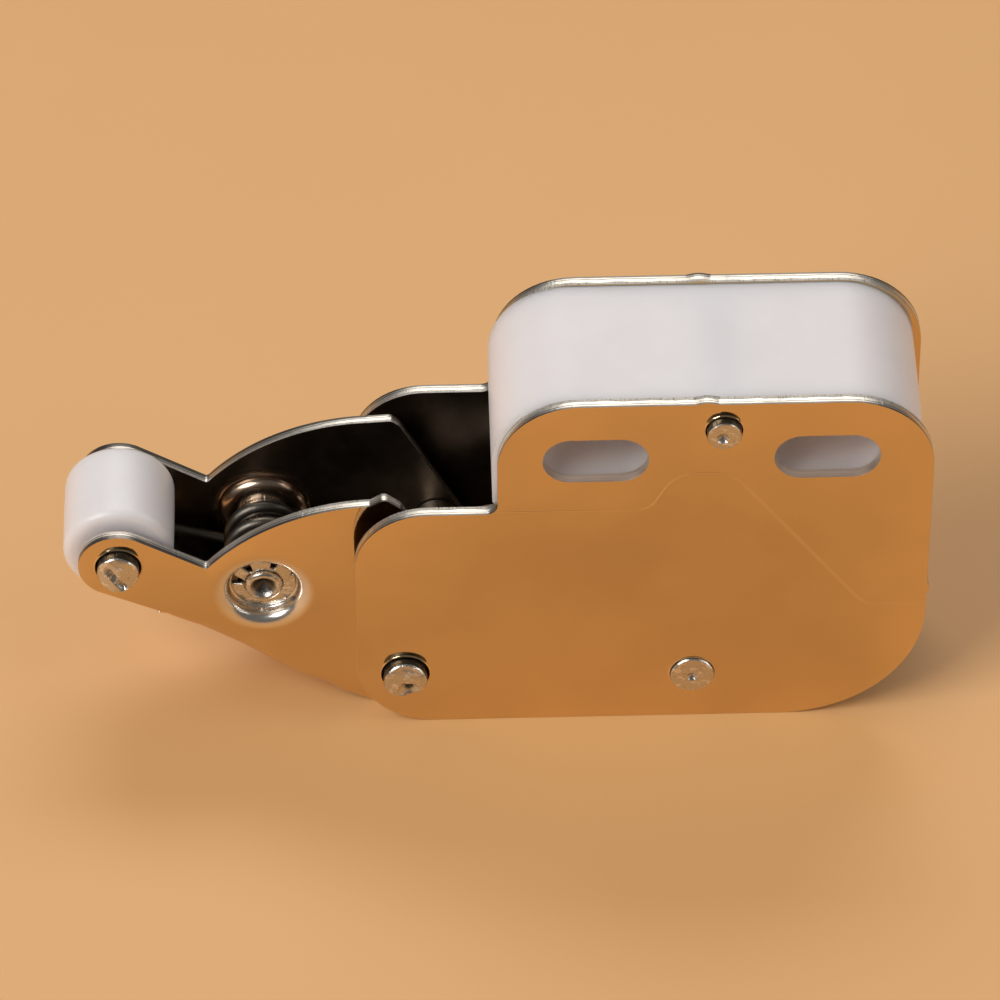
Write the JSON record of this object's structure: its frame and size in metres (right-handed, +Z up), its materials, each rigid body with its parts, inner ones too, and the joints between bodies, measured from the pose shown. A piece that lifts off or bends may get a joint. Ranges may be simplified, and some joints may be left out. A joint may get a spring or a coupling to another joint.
{
  "type": "push to open catch",
  "caption": "Push to open roller catch: a folded sprung arm with a nylon roller swings between two stamped side plates riveted to a moulded block with screw slots.",
  "frame": {"origin": "on the mounting face, which is the outer face of the rear side plate, midway between the two screw slots", "axes": "+X along the body away from the roller, +Y out of the mounting face into the panel, +Z up towards the block"},
  "size_m": [0.0802, 0.019, 0.0402],
  "materials": {
    "plate_metal": "bright nickel plated sheet",
    "arm_metal": "bright nickel plated folded sheet",
    "pin_steel": "peened bright steel",
    "spring_steel": "dark drawn wire",
    "nylon": "natural white moulded nylon",
    "roller_nylon": "smooth natural white nylon",
    "cam_plastic": "moulded acetal"
  },
  "bodies": {
    "housing": {"front_side_plate": "plate_metal", "rear_side_plate": "plate_metal", "spacer_block": "nylon", "top_rivet": "pin_steel", "bottom_rivet": "pin_steel", "bottom_spacer_sleeve": "pin_steel", "pivot_pin": "pin_steel", "front_pivot_washer": "pin_steel", "rear_pivot_washer": "pin_steel", "cam_plate": "cam_plastic"},
    "arm": {"latch_arm": "arm_metal", "roller_pin": "pin_steel", "spring_post_sleeve": "pin_steel", "spring_post_pin": "pin_steel", "torsion_spring": "spring_steel", "pivot_sleeve": "pin_steel", "link_pin": "pin_steel"},
    "roller": {"roller": "roller_nylon"},
    "catch_link": {"catch_link": "pin_steel"}
  },
  "joints": [
    {"name": "arm_pivot", "type": "hinge", "parent": "housing", "child": "arm", "pos_m": [-0.0282, -0.0088, -0.027], "axis": [0, 1, 0], "range_deg": [0, 64], "stiffness_Nm_per_rad": 0.03, "springref_deg": -34.38, "deforming": ["torsion_spring"]},
    {"name": "roller_spin", "type": "hinge", "parent": "arm", "child": "roller", "pos_m": [-0.0546, -0.0088, -0.0146], "axis": [0, 1, 0], "continuous": true},
    {"name": "link_pivot", "type": "hinge", "parent": "arm", "child": "catch_link", "pos_m": [-0.0249, -0.0088, -0.0198], "axis": [0, 1, 0], "range_deg": [-73.5, 0]}
  ],
  "couplings": [
    {"joint": "link_pivot", "follows": "arm_pivot", "ratio": -1.1406}
  ]
}
